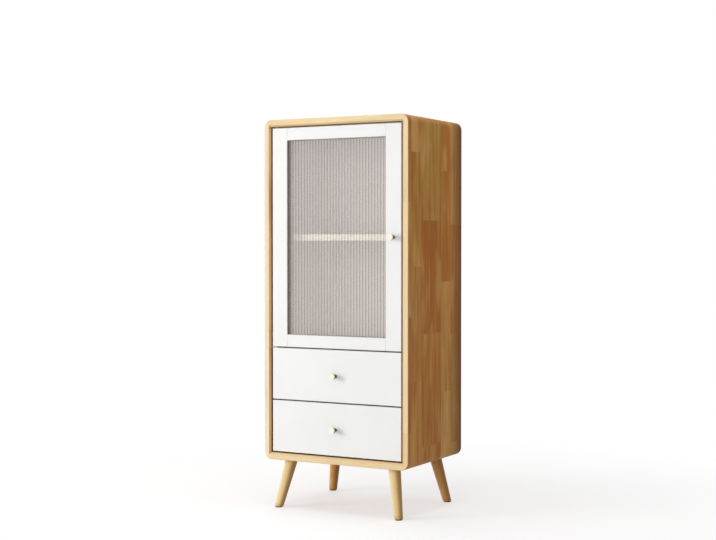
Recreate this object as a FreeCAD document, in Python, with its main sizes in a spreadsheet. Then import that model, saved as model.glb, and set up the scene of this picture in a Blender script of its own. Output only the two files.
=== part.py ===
import FreeCAD, Part
import os
import re
import Sketcher
from FreeCAD import Placement, Rotation, Vector
from math import atan2

# A tall cabinet on splayed legs: a mitred wooden case, a door with reeded glass over two drawers.
# X runs to the right, Y to the back and Z up. The origin is on the floor under the middle of the whole.

# Driving sizes, in millimetres
SIZES = {
    # Case
    "case_width": 500,
    "case_depth": 370,
    "case_height": 1050,
    "board_thickness": 22,
    "corner_radius": 24,
    "bevel": 6.5,
    "case_arris": 1.2,
    "spline_width": 12,
    "spline_thickness": 3,
    "spline_stop": 30,
    "back_thickness": 5,
    "back_inset": 10,
    "back_groove": 8,
    "panel_play": 0.5,
    # Legs
    "leg_height": 150,
    "leg_inset_x": 70,
    "leg_inset_y": 48,
    "leg_splay": 30,
    "leg_top_radius": 19,
    "leg_foot_radius": 13,
    "leg_overrun_share": 0.2,
    "leg_tenon_radius": 9,
    "leg_tenon_length": 14,
    "pad_radius": 11,
    "pad_thickness": 3,
    # Floor and shelf of the display space
    "floor_thickness": 18,
    "floor_lap": 8,
    "floor_setback": 6,
    "floor_housing": 6,
    "shelf_thickness": 20,
    "shelf_height": 319,
    "shelf_setback": 20,
    "shelf_arris": 1,
    "pin_radius": 2.5,
    "pin_reach": 9,
    "pin_inset": 45,
    # Door
    "front_gap": 3.5,
    "door_thickness": 20,
    "stile_width": 53,
    "rail_height": 38.5,
    "frame_arris": 0.8,
    "rebate_width": 8,
    "tenon_length": 25,
    "tenon_shoulder": 7,
    "tenon_depth": 3,
    "tenon_set": 1,
    "gasket_thickness": 1,
    "gasket_set": 1,
    "pane_thickness": 3.2,
    "rib_height": 1.5,
    "rib_count": 35,
    "bead_thickness": 4.3,
    # Pivot hinges and catch
    "pivot_inset": 10,
    "pivot_depth": 7,
    "pivot_pin_radius": 3,
    "pivot_pin_length": 10,
    "pivot_play": 0.05,
    "plate_length": 46,
    "plate_width": 12,
    "plate_clearance": 0.55,
    "plate_end": 12,
    "bush_wall": 1.5,
    "bush_length": 12,
    "catch_width": 40,
    "catch_depth": 14,
    "catch_height": 13,
    "catch_ear": 8,
    "catch_wall": 3,
    "strike_width": 24,
    "strike_height": 11,
    "strike_thickness": 1.2,
    "catch_play": 0.3,
    # Drawers and their runners
    "drawer_front_height": 159,
    "drawer_front_thickness": 18,
    "front_arris": 1,
    "box_thickness": 12,
    "box_rise": 20,
    "box_drop": 29,
    "box_back_gap": 25.5,
    "box_bottom_thickness": 5,
    "box_bottom_rise": 8,
    "box_groove": 6,
    "runner_setback": 4,
    "runner_end_gap": 1,
    "runner_height": 45,
    "runner_thickness": 12.7,
    "rail_sheet": 1.2,
    "rail_play": 0.3,
    "outer_rail_depth": 9.6,
    "outer_lip": 4.2,
    "middle_lip": 6,
    "web_play": 2,
    # Knobs
    "knob_length": 25,
    "knob_neck_radius": 4.5,
    "knob_head_radius": 9,
    "knob_head_length": 11,
    "knob_arris": 1.5,
}

# Places and sizes that follow from the driving ones
PLACES = {
    "half_width": "case_width / 2",
    "case_top": "leg_height + case_height",
    "inner_half": "half_width - board_thickness",
    "inner_bottom": "leg_height + board_thickness",
    "inner_top": "case_top - board_thickness",
    "knob_reach": "knob_length - bevel",
    "front_plane": "(knob_reach - case_depth) / 2",
    "back_plane": "front_plane + case_depth",
    "case_middle": "front_plane + case_depth / 2",
    "face_plane": "front_plane + bevel",
    "back_face": "back_plane - back_inset - back_thickness",
    "arc_half": "half_width - corner_radius",
    "arc_share": "sqrt(0.5)",
    "mid_arc_half": "arc_half + corner_radius * arc_share",
    "arc_top": "case_top - corner_radius",
    "arc_bottom": "leg_height + corner_radius",
    "mid_arc_top": "arc_top + corner_radius * arc_share",
    "mid_arc_bottom": "arc_bottom - corner_radius * arc_share",
    "mitre_length": "(mid_arc_half - inner_half) / arc_share",
    "spline_start": "(mitre_length - spline_thickness) / 2",
    "leg_x": "half_width - leg_inset_x",
    "leg_y": "case_depth / 2 - leg_inset_y",
    "leg_taper": "leg_top_radius - leg_foot_radius",
    "leg_lean": "atan(leg_splay * sqrt(2) / leg_height)",
    "leg_length": "sqrt(leg_height ^ 2 + 2 * leg_splay ^ 2)",
    "leg_reach": "leg_inset_x + leg_inset_y + leg_splay",
    "front_half": "inner_half - front_gap",
    "lower_front_bottom": "inner_bottom + front_gap",
    "upper_front_bottom": "lower_front_bottom + drawer_front_height + front_gap",
    "door_bottom": "upper_front_bottom + drawer_front_height + front_gap",
    "door_top": "inner_top - front_gap",
    "door_middle": "(door_bottom + door_top) / 2",
    "door_back": "face_plane + door_thickness",
    "opening_half": "front_half - stile_width",
    "opening_bottom": "door_bottom + rail_height",
    "opening_top": "door_top - rail_height",
    "rebate_half": "opening_half + rebate_width",
    "rebate_bottom": "opening_bottom - rebate_width",
    "rebate_top": "opening_top + rebate_width",
    "glass_back": "door_back - bead_thickness",
    "pane_back": "glass_back - rib_height",
    "glass_front": "pane_back - pane_thickness",
    "lip_back": "glass_front - gasket_thickness",
    "glass_half": "rebate_half - panel_play",
    "rib_pitch": "2 * glass_half / rib_count",
    "rib_radius": "(rib_pitch ^ 2 / 4 + rib_height ^ 2) / (2 * rib_height)",
    "knob_x": "front_half - stile_width / 2",
    "floor_top": "door_bottom + floor_lap",
    "floor_bottom": "floor_top - floor_thickness",
    "floor_front": "door_back + floor_setback",
    "floor_half": "inner_half + floor_housing",
    "shelf_bottom": "floor_top + shelf_height",
    "shelf_front": "door_back + shelf_setback",
    "shelf_half": "inner_half - panel_play",
    "pivot_x": "pivot_inset - front_half",
    "pivot_y": "face_plane + pivot_depth",
    "plate_thickness": "front_gap - 2 * plate_clearance",
    "ear_bottom": "door_bottom - front_gap + plate_clearance",
    "bush_radius": "pivot_pin_radius + pivot_play + bush_wall",
    "catch_front": "door_back + strike_thickness + catch_play",
    "catch_bottom": "inner_top - catch_height",
    "strike_top": "door_top - frame_arris",
    "drawer_front_back": "face_plane + drawer_front_thickness",
    "box_half": "inner_half - runner_thickness",
    "box_inner_half": "box_half - box_thickness",
    "box_end": "back_face - box_back_gap",
    "box_height": "drawer_front_height - box_rise - box_drop",
    "runner_front": "drawer_front_back + runner_setback",
    "runner_length": "box_end - runner_end_gap - runner_front",
    "middle_height": "runner_height - 2 * rail_sheet - 2 * rail_play",
    "middle_start": "rail_sheet + rail_play",
    "middle_depth": "outer_rail_depth - 2 * rail_sheet - 2 * rail_play",
    "inner_start": "middle_start + rail_sheet + rail_play",
    "inner_height": "middle_height - 2 * rail_sheet - 2 * rail_play",
    "inner_web_height": "middle_height - 2 * middle_lip - 2 * web_play",
}

# How near an edge lies to a plane when it is picked for a bevel
NEAR = 1e-4
SIDES = {"left": "-1", "right": "1"}
ENDS = {"front": "-1", "back": "1"}
TURNS = {
    "x": Rotation(Vector(0, 1, 0), 90),
    "y": Rotation(Vector(1, 0, 0), -90),
    "z": Rotation(),
}

doc = FreeCAD.newDocument("cabinet")
owners = {}
pieces = []


def spell(text, home=None):
    """Put the owning sheet in front of each size named in a formula."""

    def full(match):
        owner = owners.get(match[0])
        return match[0] if owner in (None, home) else f"{owner}.{match[0]}"

    return re.sub(r"[a-z_]+", full, text)


def fill_sheet(name, cells):
    sheet = doc.addObject("Spreadsheet::Sheet", name)
    for row, (alias, text) in enumerate(cells.items(), 1):
        sheet.set(f"A{row}", alias)
        sheet.set(f"B{row}", text)
        sheet.setAlias(f"B{row}", alias)
    doc.recompute()
    return sheet


owners.update(dict.fromkeys(SIZES, "sizes"))
owners.update(dict.fromkeys(PLACES, "places"))
fill_sheet("sizes", {name: str(size) for name, size in SIZES.items()})
places = fill_sheet("places", {name: "=" + spell(text, "places") for name, text in PLACES.items()})


def value(text):
    return float(places.evalExpression(spell(text, "places")))


def bind(feature, **formulas):
    """Tie properties of a feature to formulas on the sheets."""
    for prop, text in formulas.items():
        feature.setExpression(prop.replace("__", "."), spell(text))


def seat(feature, x, y, z):
    bind(feature, Placement__Base__x=x, Placement__Base__y=y, Placement__Base__z=z)


# Features of a piece


def new_body(label):
    body = doc.addObject("PartDesign::Body", label)
    body.Label = label
    return body


def piece(label):
    body = new_body(label)
    pieces.append(body)
    return body


def block(body, name, low, high, cut=False, turn=Rotation()):
    """A box from one corner to the other, added to a piece or cut from it."""
    kind = "SubtractiveBox" if cut else "AdditiveBox"
    feature = body.newObject(f"PartDesign::{kind}", f"{body.Name}_{name}")
    spans = [f"({end}) - ({start})" for start, end in zip(low, high)]
    bind(feature, Length=spans[0], Width=spans[1], Height=spans[2])
    feature.Placement = Placement(Vector(), turn)
    seat(feature, *low)
    doc.recompute()


def rod(body, name, axis, start, radius, length, cut=False):
    """A round bar along an axis, added to a piece or drilled out of it."""
    kind = "SubtractiveCylinder" if cut else "AdditiveCylinder"
    feature = body.newObject(f"PartDesign::{kind}", f"{body.Name}_{name}")
    bind(feature, Radius=radius, Height=length)
    feature.Placement = Placement(Vector(), TURNS[axis])
    seat(feature, *start)
    doc.recompute()


def origin_part(body, role):
    return next(item for item in body.Origin.OriginFeatures if item.Role == role)


def sketch_on(body, name, plane, x="0", y="0", depth="0"):
    sketch = body.newObject("Sketcher::SketchObject", f"{body.Name}_{name}")
    sketch.AttachmentSupport = [(origin_part(body, plane), "")]
    sketch.MapMode = "FlatFace"
    bind(sketch, AttachmentOffset__Base__x=x, AttachmentOffset__Base__y=y)
    bind(sketch, AttachmentOffset__Base__z=depth)
    return sketch


def fix(sketch, kind, items, text):
    index = sketch.addConstraint(Sketcher.Constraint(kind, *items, value(text)))
    sketch.setExpression(f"Constraints[{index}]", spell(text))


def fix_point(sketch, curve, end, x=None, y=None):
    for kind, text in (("DistanceX", x), ("DistanceY", y)):
        if text is not None:
            fix(sketch, kind, (-1, 1, curve, end), text)


def outline(sketch, corners):
    """A closed outline, counterclockwise. A corner is (x, y), or (x, y, centre x, centre y, radius)
    where the edge that arrives at it is an arc."""
    count = len(corners)
    arrives_round = [len(corner) > 2 for corner in corners]
    for index, corner in enumerate(corners):
        following = corners[(index + 1) % count]
        start = Vector(value(corner[0]), value(corner[1]), 0)
        end = Vector(value(following[0]), value(following[1]), 0)
        if len(following) == 2:
            sketch.addGeometry(Part.LineSegment(start, end))
            continue
        middle = Vector(value(following[2]), value(following[3]), 0)
        circle = Part.Circle(middle, Vector(0, 0, 1), value(following[4]))
        angles = [atan2(point.y - middle.y, point.x - middle.x) for point in (start, end)]
        sketch.addGeometry(Part.ArcOfCircle(circle, *angles))
    for index, corner in enumerate(corners):
        after = (index + 1) % count
        sketch.addConstraint(Sketcher.Constraint("Coincident", index, 2, after, 1))
        if arrives_round[after]:
            following = corners[after]
            fix_point(sketch, index, 3, following[2], following[3])
            fix(sketch, "Radius", (index,), following[4])
            for end, point in ((1, corner), (2, following)):
                run = abs(value(point[0]) - value(following[2]))
                rise = abs(value(point[1]) - value(following[3]))
                steep = run > rise + NEAR
                fix_point(sketch, index, end, None if steep else point[0], point[1] if steep else None)
        elif not arrives_round[index]:
            fix_point(sketch, index, 1, corner[0], corner[1])
    doc.recompute()


def extrude_back(body, name, start, length, corners):
    """An outline seen from the front, drawn at a depth and carried backwards."""
    sketch = sketch_on(body, f"{name}_outline", "XZ_Plane", depth=f"-({start})")
    outline(sketch, corners)
    pad = body.newObject("PartDesign::Pad", f"{body.Name}_{name}")
    pad.Profile = sketch
    pad.Reversed = True
    bind(pad, Length=length)
    doc.recompute()


def lies_at(edge, axis, text):
    box = edge.BoundBox
    place = value(text)
    low, high = getattr(box, f"{axis}Min"), getattr(box, f"{axis}Max")
    return abs(low - place) < NEAR and abs(high - place) < NEAR


def bevel_edges(body, name, size, test):
    base = body.Tip
    names = [f"Edge{number}" for number, edge in enumerate(body.Shape.Edges, 1) if test(edge)]
    feature = body.newObject("PartDesign::Chamfer", f"{body.Name}_{name}")
    feature.Base = (base, names)
    bind(feature, Size=size)
    doc.recompute()


# Groups of like pieces


def loose_block(name, low, high, turn=Rotation()):
    solid = doc.addObject("Part::Box", name)
    spans = [f"({end}) - ({start})" for start, end in zip(low, high)]
    bind(solid, Length=spans[0], Width=spans[1], Height=spans[2])
    solid.Placement = Placement(Vector(), turn)
    seat(solid, *low)
    return solid


def loose_rod(name, axis, start, radius, length):
    solid = doc.addObject("Part::Cylinder", name)
    bind(solid, Radius=radius, Height=length)
    solid.Placement = Placement(Vector(), TURNS[axis])
    seat(solid, *start)
    return solid


def joined(name, first, second):
    solid = doc.addObject("Part::Fuse", name)
    solid.Base = first
    solid.Tool = second
    return solid


def less(name, first, second):
    solid = doc.addObject("Part::Cut", name)
    solid.Base = first
    solid.Tool = second
    return solid


def group(label, solids):
    bundle = doc.addObject("Part::Compound", label)
    bundle.Label = label
    bundle.Links = solids
    pieces.append(bundle)
    doc.recompute()


# The case: four mitred boards with one rounded outline

left_panel = piece("left_side_panel")
right_panel = piece("right_side_panel")
top_panel = piece("top_panel")
bottom_panel = piece("bottom_panel")
side_panels = {"left": left_panel, "right": right_panel}

right_arc_top = ("mid_arc_half", "mid_arc_top", "arc_half", "arc_top", "corner_radius")
right_arc_bottom = ("half_width", "arc_bottom", "arc_half", "arc_bottom", "corner_radius")
left_arc_top = ("-half_width", "arc_top", "-arc_half", "arc_top", "corner_radius")
left_arc_bottom = ("-mid_arc_half", "mid_arc_bottom", "-arc_half", "arc_bottom", "corner_radius")
top_arc_right = ("arc_half", "case_top", "arc_half", "arc_top", "corner_radius")
top_arc_left = ("-mid_arc_half", "mid_arc_top", "-arc_half", "arc_top", "corner_radius")
bottom_arc_left = ("-arc_half", "leg_height", "-arc_half", "arc_bottom", "corner_radius")
bottom_arc_right = ("mid_arc_half", "mid_arc_bottom", "arc_half", "arc_bottom", "corner_radius")

board_outlines = {
    right_panel: [
        ("inner_half", "inner_top"),
        ("inner_half", "inner_bottom"),
        ("mid_arc_half", "mid_arc_bottom"),
        right_arc_bottom,
        ("half_width", "arc_top"),
        right_arc_top,
    ],
    left_panel: [
        ("-inner_half", "inner_bottom"),
        ("-inner_half", "inner_top"),
        ("-mid_arc_half", "mid_arc_top"),
        left_arc_top,
        ("-half_width", "arc_bottom"),
        left_arc_bottom,
    ],
    top_panel: [
        ("-inner_half", "inner_top"),
        ("inner_half", "inner_top"),
        ("mid_arc_half", "mid_arc_top"),
        top_arc_right,
        ("-arc_half", "case_top"),
        top_arc_left,
    ],
    bottom_panel: [
        ("inner_half", "inner_bottom"),
        ("-inner_half", "inner_bottom"),
        ("-mid_arc_half", "mid_arc_bottom"),
        bottom_arc_left,
        ("arc_half", "leg_height"),
        bottom_arc_right,
    ],
}
inner_faces = {
    right_panel: ("X", "inner_half"),
    left_panel: ("X", "-inner_half"),
    top_panel: ("Z", "inner_top"),
    bottom_panel: ("Z", "inner_bottom"),
}


def on_outer_rim(edge):
    """An edge of the front or back face that follows the rounded outside of the case."""
    if not (lies_at(edge, "Y", "front_plane") or lies_at(edge, "Y", "back_plane")):
        return False
    if edge.Curve.TypeId == "Part::GeomCircle":
        return True
    outer = (("X", "half_width"), ("X", "-half_width"), ("Z", "case_top"), ("Z", "leg_height"))
    return any(lies_at(edge, axis, place) for axis, place in outer)


for board, corners in board_outlines.items():
    extrude_back(board, "board", "front_plane", "case_depth", corners)
    inner_axis, inner_place = inner_faces[board]
    bevel_edges(
        board,
        "front_bevel",
        "bevel",
        lambda edge: lies_at(edge, inner_axis, inner_place) and lies_at(edge, "Y", "front_plane"),
    )
    bevel_edges(board, "rim", "case_arris", on_outer_rim)
    block(
        board,
        "back_groove",
        ("-inner_half - back_groove", "back_face", "inner_bottom - back_groove"),
        ("inner_half + back_groove", "back_face + back_thickness", "inner_top + back_groove"),
        cut=True,
    )

# Splines key the mitres. Each lies across its mitre and stops short of both ends.

spline_corners = {
    45: (top_panel, right_panel, "inner_half", "inner_top"),
    135: (bottom_panel, right_panel, "inner_half", "inner_bottom"),
    225: (bottom_panel, left_panel, "-inner_half", "inner_bottom"),
    315: (top_panel, left_panel, "-inner_half", "inner_top"),
}
splines = []
for angle, (first, second, corner_x, corner_z) in spline_corners.items():
    start = (
        f"{corner_x} + sin({angle}) * spline_start - cos({angle}) * spline_width / 2",
        "front_plane + spline_stop",
        f"{corner_z} + cos({angle}) * spline_start + sin({angle}) * spline_width / 2",
    )
    end = (
        f"{start[0]} + spline_width",
        "back_face - spline_stop",
        f"{start[2]} + spline_thickness",
    )
    tilt = Rotation(Vector(0, 1, 0), angle)
    for board in (first, second):
        block(board, f"spline_slot_{angle}", start, end, cut=True, turn=tilt)
    splines.append(loose_block(f"spline_{angle}", start, end, turn=tilt))
group("corner_splines", splines)

back_panel = piece("back_panel")
block(
    back_panel,
    "sheet",
    (
        "panel_play - inner_half - back_groove",
        "back_face",
        "inner_bottom - back_groove + panel_play",
    ),
    (
        "inner_half + back_groove - panel_play",
        "back_face + back_thickness",
        "inner_top + back_groove - panel_play",
    ),
)

# The fixed floor of the display space is housed in both sides

compartment_floor = piece("compartment_floor")
floor_low = ("-floor_half", "floor_front", "floor_bottom")
floor_high = ("floor_half", "back_face", "floor_top")
block(compartment_floor, "board", floor_low, floor_high)
for panel in side_panels.values():
    block(panel, "floor_housing", floor_low, floor_high, cut=True)

# The shelf rests on four pins

shelf = piece("shelf")
block(
    shelf,
    "board",
    ("-shelf_half", "shelf_front", "shelf_bottom"),
    ("shelf_half", "back_face - panel_play", "shelf_bottom + shelf_thickness"),
)


def on_shelf_front(edge):
    upright = lies_at(edge, "X", "shelf_half") or lies_at(edge, "X", "-shelf_half")
    return lies_at(edge, "Y", "shelf_front") and not upright


bevel_edges(shelf, "front_arris", "shelf_arris", on_shelf_front)
pin_rows = {"front": "shelf_front + pin_inset", "back": "back_face - pin_inset"}
pins = []
for side, panel in side_panels.items():
    for row, y in pin_rows.items():
        start = (f"{SIDES[side]} * inner_half - pin_reach", y, "shelf_bottom - pin_radius")
        rod(panel, f"pin_hole_{row}", "x", start, "pin_radius", "2 * pin_reach", cut=True)
        pins.append(loose_rod(f"{side}_{row}_pin", "x", start, "pin_radius", "2 * pin_reach"))
group("shelf_pins", pins)

# Four turned legs, splayed both ways. A round tenon on each is glued into the bottom board.


def turned_leg(name, along_x, along_y):
    top_x, top_y = f"{along_x} * leg_x", f"case_middle + {along_y} * leg_y"
    foot_x, foot_y = f"{top_x} + {along_x} * leg_splay", f"{top_y} + {along_y} * leg_splay"
    leg = new_body(name)
    cone = leg.newObject("PartDesign::AdditiveCone", f"{name}_turning")
    bind(
        cone,
        Radius1="leg_foot_radius - leg_overrun_share * leg_taper",
        Radius2="leg_top_radius + leg_overrun_share * leg_taper",
        Height="(1 + 2 * leg_overrun_share) * leg_length",
    )
    lean_axis = Vector(int(along_y), -int(along_x), 0)
    cone.Placement = Placement(Vector(), Rotation(lean_axis, value("leg_lean")))
    bind(cone, Placement__Rotation__Angle="leg_lean")
    seat(
        cone,
        f"{foot_x} + leg_overrun_share * {along_x} * leg_splay",
        f"{foot_y} + leg_overrun_share * {along_y} * leg_splay",
        "-leg_overrun_share * leg_height",
    )
    doc.recompute()
    ends = {"foot_cut": ("-leg_height", "pad_thickness"), "top_cut": ("leg_height", "2 * leg_height")}
    for cut_name, (low_z, high_z) in ends.items():
        block(
            leg,
            cut_name,
            (f"{top_x} - leg_reach", f"{top_y} - leg_reach", low_z),
            (f"{top_x} + leg_reach", f"{top_y} + leg_reach", high_z),
            cut=True,
        )
    tenon_start = (top_x, top_y, "leg_height")
    rod(leg, "tenon", "z", tenon_start, "leg_tenon_radius", "leg_tenon_length")
    rod(bottom_panel, f"{name}_socket", "z", tenon_start, "leg_tenon_radius", "leg_tenon_length", cut=True)
    pad = loose_rod(f"{name}_pad", "z", (foot_x, foot_y, "0"), "pad_radius", "pad_thickness")
    return leg, pad


legs, pads = [], []
for end, along_y in ENDS.items():
    for side, along_x in SIDES.items():
        leg, pad = turned_leg(f"{end}_{side}_leg", along_x, along_y)
        legs.append(leg)
        pads.append(pad)
group("legs", legs)
group("foot_pads", pads)

# Pivot hinges: a plate let into the top board and an angle let into the left side

upper_pivot_plate = piece("upper_pivot_plate")
plate_low = ("pivot_x - plate_end", "pivot_y - plate_width / 2", "inner_top")
plate_high = (
    "pivot_x - plate_end + plate_length",
    "pivot_y + plate_width / 2",
    "inner_top + plate_thickness",
)
block(upper_pivot_plate, "plate", plate_low, plate_high)
rod(
    upper_pivot_plate,
    "pin",
    "z",
    ("pivot_x", "pivot_y", "door_top - pivot_pin_length"),
    "pivot_pin_radius",
    "pivot_pin_length + front_gap",
)
block(top_panel, "pivot_recess", plate_low, plate_high, cut=True)

lower_pivot_bracket = piece("lower_pivot_bracket")
flange_low = ("-inner_half - plate_thickness", "pivot_y - plate_width / 2", "ear_bottom")
flange_high = ("-inner_half", "pivot_y + plate_width / 2", "ear_bottom + plate_length")
ear_high = ("pivot_x + plate_width / 2", "pivot_y + plate_width / 2", "ear_bottom + plate_thickness")
block(lower_pivot_bracket, "flange", flange_low, flange_high)
block(lower_pivot_bracket, "ear", flange_low, ear_high)
rod(
    lower_pivot_bracket,
    "pin",
    "z",
    ("pivot_x", "pivot_y", "ear_bottom"),
    "pivot_pin_radius",
    "door_bottom + pivot_pin_length - ear_bottom",
)
block(left_panel, "pivot_recess", flange_low, flange_high, cut=True)

# The catch hangs under the top board behind the door

catch_low = ("knob_x - catch_width / 2", "catch_front", "catch_bottom")
catch_high = ("knob_x + catch_width / 2", "catch_front + catch_depth", "inner_top")
magnet_low = (f"{catch_low[0]} + catch_ear", "catch_front", "catch_bottom + catch_wall")
magnet_high = (
    f"{catch_high[0]} - catch_ear",
    f"{catch_high[1]} - 2 * catch_wall",
    "inner_top - catch_wall",
)
catch_housing = piece("catch_housing")
block(catch_housing, "case", catch_low, catch_high)
block(catch_housing, "magnet_pocket", magnet_low, magnet_high, cut=True)
catch_magnet = piece("catch_magnet")
block(catch_magnet, "bar", magnet_low, magnet_high)

# Turned knobs


def knob(label, centre_x, centre_z):
    body = piece(label)
    sketch = sketch_on(body, "outline", "XY_Plane", x=centre_x, y="face_plane", depth=centre_z)
    outline(
        sketch,
        [
            ("0", "0"),
            ("0", "-knob_length"),
            ("knob_head_radius - knob_arris", "-knob_length"),
            ("knob_head_radius", "knob_arris - knob_length"),
            ("knob_head_radius", "knob_head_length - knob_length"),
            ("knob_neck_radius", "knob_head_length - knob_length"),
            ("knob_neck_radius", "0"),
        ],
    )
    turning = body.newObject("PartDesign::Revolution", f"{label}_turning")
    turning.Profile = sketch
    turning.ReferenceAxis = (sketch, ["V_Axis"])
    turning.Angle = 360
    doc.recompute()


# The door: two stiles, two rails tenoned into them, and the pane held from behind


def on_face(edge):
    return lies_at(edge, "Y", "face_plane")


stile_spans = {"left": ("-front_half", "-opening_half"), "right": ("opening_half", "front_half")}
rebate_spans = {"left": ("-rebate_half", "-opening_half"), "right": ("opening_half", "rebate_half")}
stiles = {}
for side in SIDES:
    stile = stiles[side] = piece(f"door_{side}_stile")
    near_x, far_x = stile_spans[side]
    block(stile, "board", (near_x, "face_plane", "door_bottom"), (far_x, "door_back", "door_top"))
    bevel_edges(stile, "face_arris", "frame_arris", on_face)
    near_x, far_x = rebate_spans[side]
    block(
        stile,
        "rebate",
        (near_x, "lip_back", "rebate_bottom"),
        (far_x, "door_back", "rebate_top"),
        cut=True,
    )

rail_spans = {"bottom": ("door_bottom", "opening_bottom"), "top": ("opening_top", "door_top")}
rebate_levels = {"bottom": ("rebate_bottom", "opening_bottom"), "top": ("opening_top", "rebate_top")}
for name, (low_z, high_z) in rail_spans.items():
    rail = piece(f"door_{name}_rail")
    block(
        rail,
        "board",
        ("-opening_half", "face_plane", low_z),
        ("opening_half", "door_back", high_z),
    )
    bevel_edges(rail, "face_arris", "frame_arris", on_face)
    rebate_low, rebate_high = rebate_levels[name]
    block(
        rail,
        "rebate",
        ("-opening_half", "lip_back", rebate_low),
        ("opening_half", "door_back", rebate_high),
        cut=True,
    )
    tenon_low = ("-opening_half - tenon_length", "face_plane + tenon_depth", f"{low_z} + tenon_shoulder")
    tenon_high = ("opening_half + tenon_length", "lip_back - tenon_set", f"{high_z} - tenon_shoulder")
    block(rail, "tenons", tenon_low, tenon_high)
    for stile in stiles.values():
        block(stile, f"{name}_mortise", tenon_low, tenon_high, cut=True)

# Reeded glass: ribs stand side by side on the back of a flat pane

door_glass = piece("door_glass")
pane_bottom, pane_top = "rebate_bottom + panel_play", "rebate_top - panel_play"
block(
    door_glass,
    "pane",
    ("-glass_half", "glass_front", pane_bottom),
    ("glass_half", "pane_back", pane_top),
)
rib_sketch = sketch_on(door_glass, "rib_outline", "XY_Plane", depth=pane_bottom)
rib_arc = ("rib_pitch / 2 - glass_half", "glass_back - rib_radius", "rib_radius")
outline(rib_sketch, [("-glass_half", "pane_back", *rib_arc), ("rib_pitch - glass_half", "pane_back")])
rib = door_glass.newObject("PartDesign::Pad", "glass_rib")
rib.Profile = rib_sketch
bind(rib, Length=f"{pane_top} - ({pane_bottom})")
doc.recompute()
ribs = door_glass.newObject("PartDesign::LinearPattern", "glass_ribs")
ribs.Originals = [rib]
ribs.Direction = (origin_part(door_glass, "X_Axis"), [""])
bind(ribs, Length="rib_pitch * (rib_count - 1)", Occurrences="rib_count")
door_glass.Tip = ribs
doc.recompute()

# A dark gasket lines the inside of the frame and turns in behind its lip

upright_strips = {
    "left": (
        ("-opening_half", "gasket_thickness - opening_half"),
        ("-glass_half", "gasket_thickness - opening_half"),
    ),
    "right": (
        ("opening_half - gasket_thickness", "opening_half"),
        ("opening_half - gasket_thickness", "glass_half"),
    ),
}
level_strips = {
    "bottom": (
        ("opening_bottom", "opening_bottom + gasket_thickness"),
        (pane_bottom, "opening_bottom"),
    ),
    "top": (
        ("opening_top - gasket_thickness", "opening_top"),
        ("opening_top", pane_top),
    ),
}
reveal_front = "face_plane + gasket_set"
strips = []
for name, (reveal_x, seat_x) in upright_strips.items():
    reveal = loose_block(
        f"{name}_gasket_reveal",
        (reveal_x[0], reveal_front, "opening_bottom"),
        (reveal_x[1], "glass_front", "opening_top"),
    )
    behind = loose_block(
        f"{name}_gasket_seat",
        (seat_x[0], "lip_back", "opening_bottom"),
        (seat_x[1], "glass_front", "opening_top"),
    )
    strips.append(joined(f"{name}_gasket", reveal, behind))
for name, (reveal_z, seat_z) in level_strips.items():
    reveal = loose_block(
        f"{name}_gasket_reveal",
        ("gasket_thickness - opening_half", reveal_front, reveal_z[0]),
        ("opening_half - gasket_thickness", "glass_front", reveal_z[1]),
    )
    behind = loose_block(
        f"{name}_gasket_seat",
        ("-glass_half", "lip_back", seat_z[0]),
        ("glass_half", "glass_front", seat_z[1]),
    )
    strips.append(joined(f"{name}_gasket", reveal, behind))
group("glass_gasket", strips)

# Beads close the rebate behind the pane

beads = []
for side, (near_x, far_x) in rebate_spans.items():
    low = (near_x, "glass_back", "rebate_bottom")
    high = (far_x, "door_back", "rebate_top")
    beads.append(loose_block(f"{side}_bead", low, high))
for name, (low_z, high_z) in rebate_levels.items():
    low = ("-opening_half", "glass_back", low_z)
    high = ("opening_half", "door_back", high_z)
    beads.append(loose_block(f"{name}_bead", low, high))
group("glazing_beads", beads)

knob("door_knob", "knob_x", "door_middle")

strike_plate = piece("strike_plate")
block(
    strike_plate,
    "plate",
    ("knob_x - strike_width / 2", "door_back", "strike_top - strike_height"),
    ("knob_x + strike_width / 2", "door_back + strike_thickness", "strike_top"),
)

bushes = []
for name, bush_bottom in {"lower": "door_bottom", "upper": "door_top - bush_length"}.items():
    start = ("pivot_x", "pivot_y", bush_bottom)
    rod(stiles["left"], f"{name}_bush_hole", "z", start, "bush_radius", "bush_length", cut=True)
    wall = loose_rod(f"{name}_bush_wall", "z", start, "bush_radius", "bush_length")
    bore = loose_rod(f"{name}_bush_bore", "z", start, "pivot_pin_radius + pivot_play", "bush_length")
    bushes.append(less(f"{name}_bush", wall, bore))
group("pivot_bushes", bushes)

# Three-part runners: folded rails that slide inside one another


def folded_rail(body, side, middle_z, section):
    """A rail of one section of (distance in from the case side, height about the middle)."""
    corners = [(f"{side} * (inner_half - ({away}))", f"{middle_z} + {up}") for away, up in section]
    extrude_back(body, "rail", "runner_front", "runner_length", corners)


def lipped_channel(start, depth, height, lip):
    """A channel with its web towards the case side and two lips at its mouth."""
    tall = f"{height} / 2"
    far = f"{start} + {depth}"
    return [
        (start, f"-{tall}"),
        (far, f"-{tall}"),
        (far, f"{lip} - {tall}"),
        (f"{far} - rail_sheet", f"{lip} - {tall}"),
        (f"{far} - rail_sheet", f"rail_sheet - {tall}"),
        (f"{start} + rail_sheet", f"rail_sheet - {tall}"),
        (f"{start} + rail_sheet", f"{tall} - rail_sheet"),
        (f"{far} - rail_sheet", f"{tall} - rail_sheet"),
        (f"{far} - rail_sheet", f"{tall} - {lip}"),
        (far, f"{tall} - {lip}"),
        (far, tall),
        (start, tall),
    ]


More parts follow.
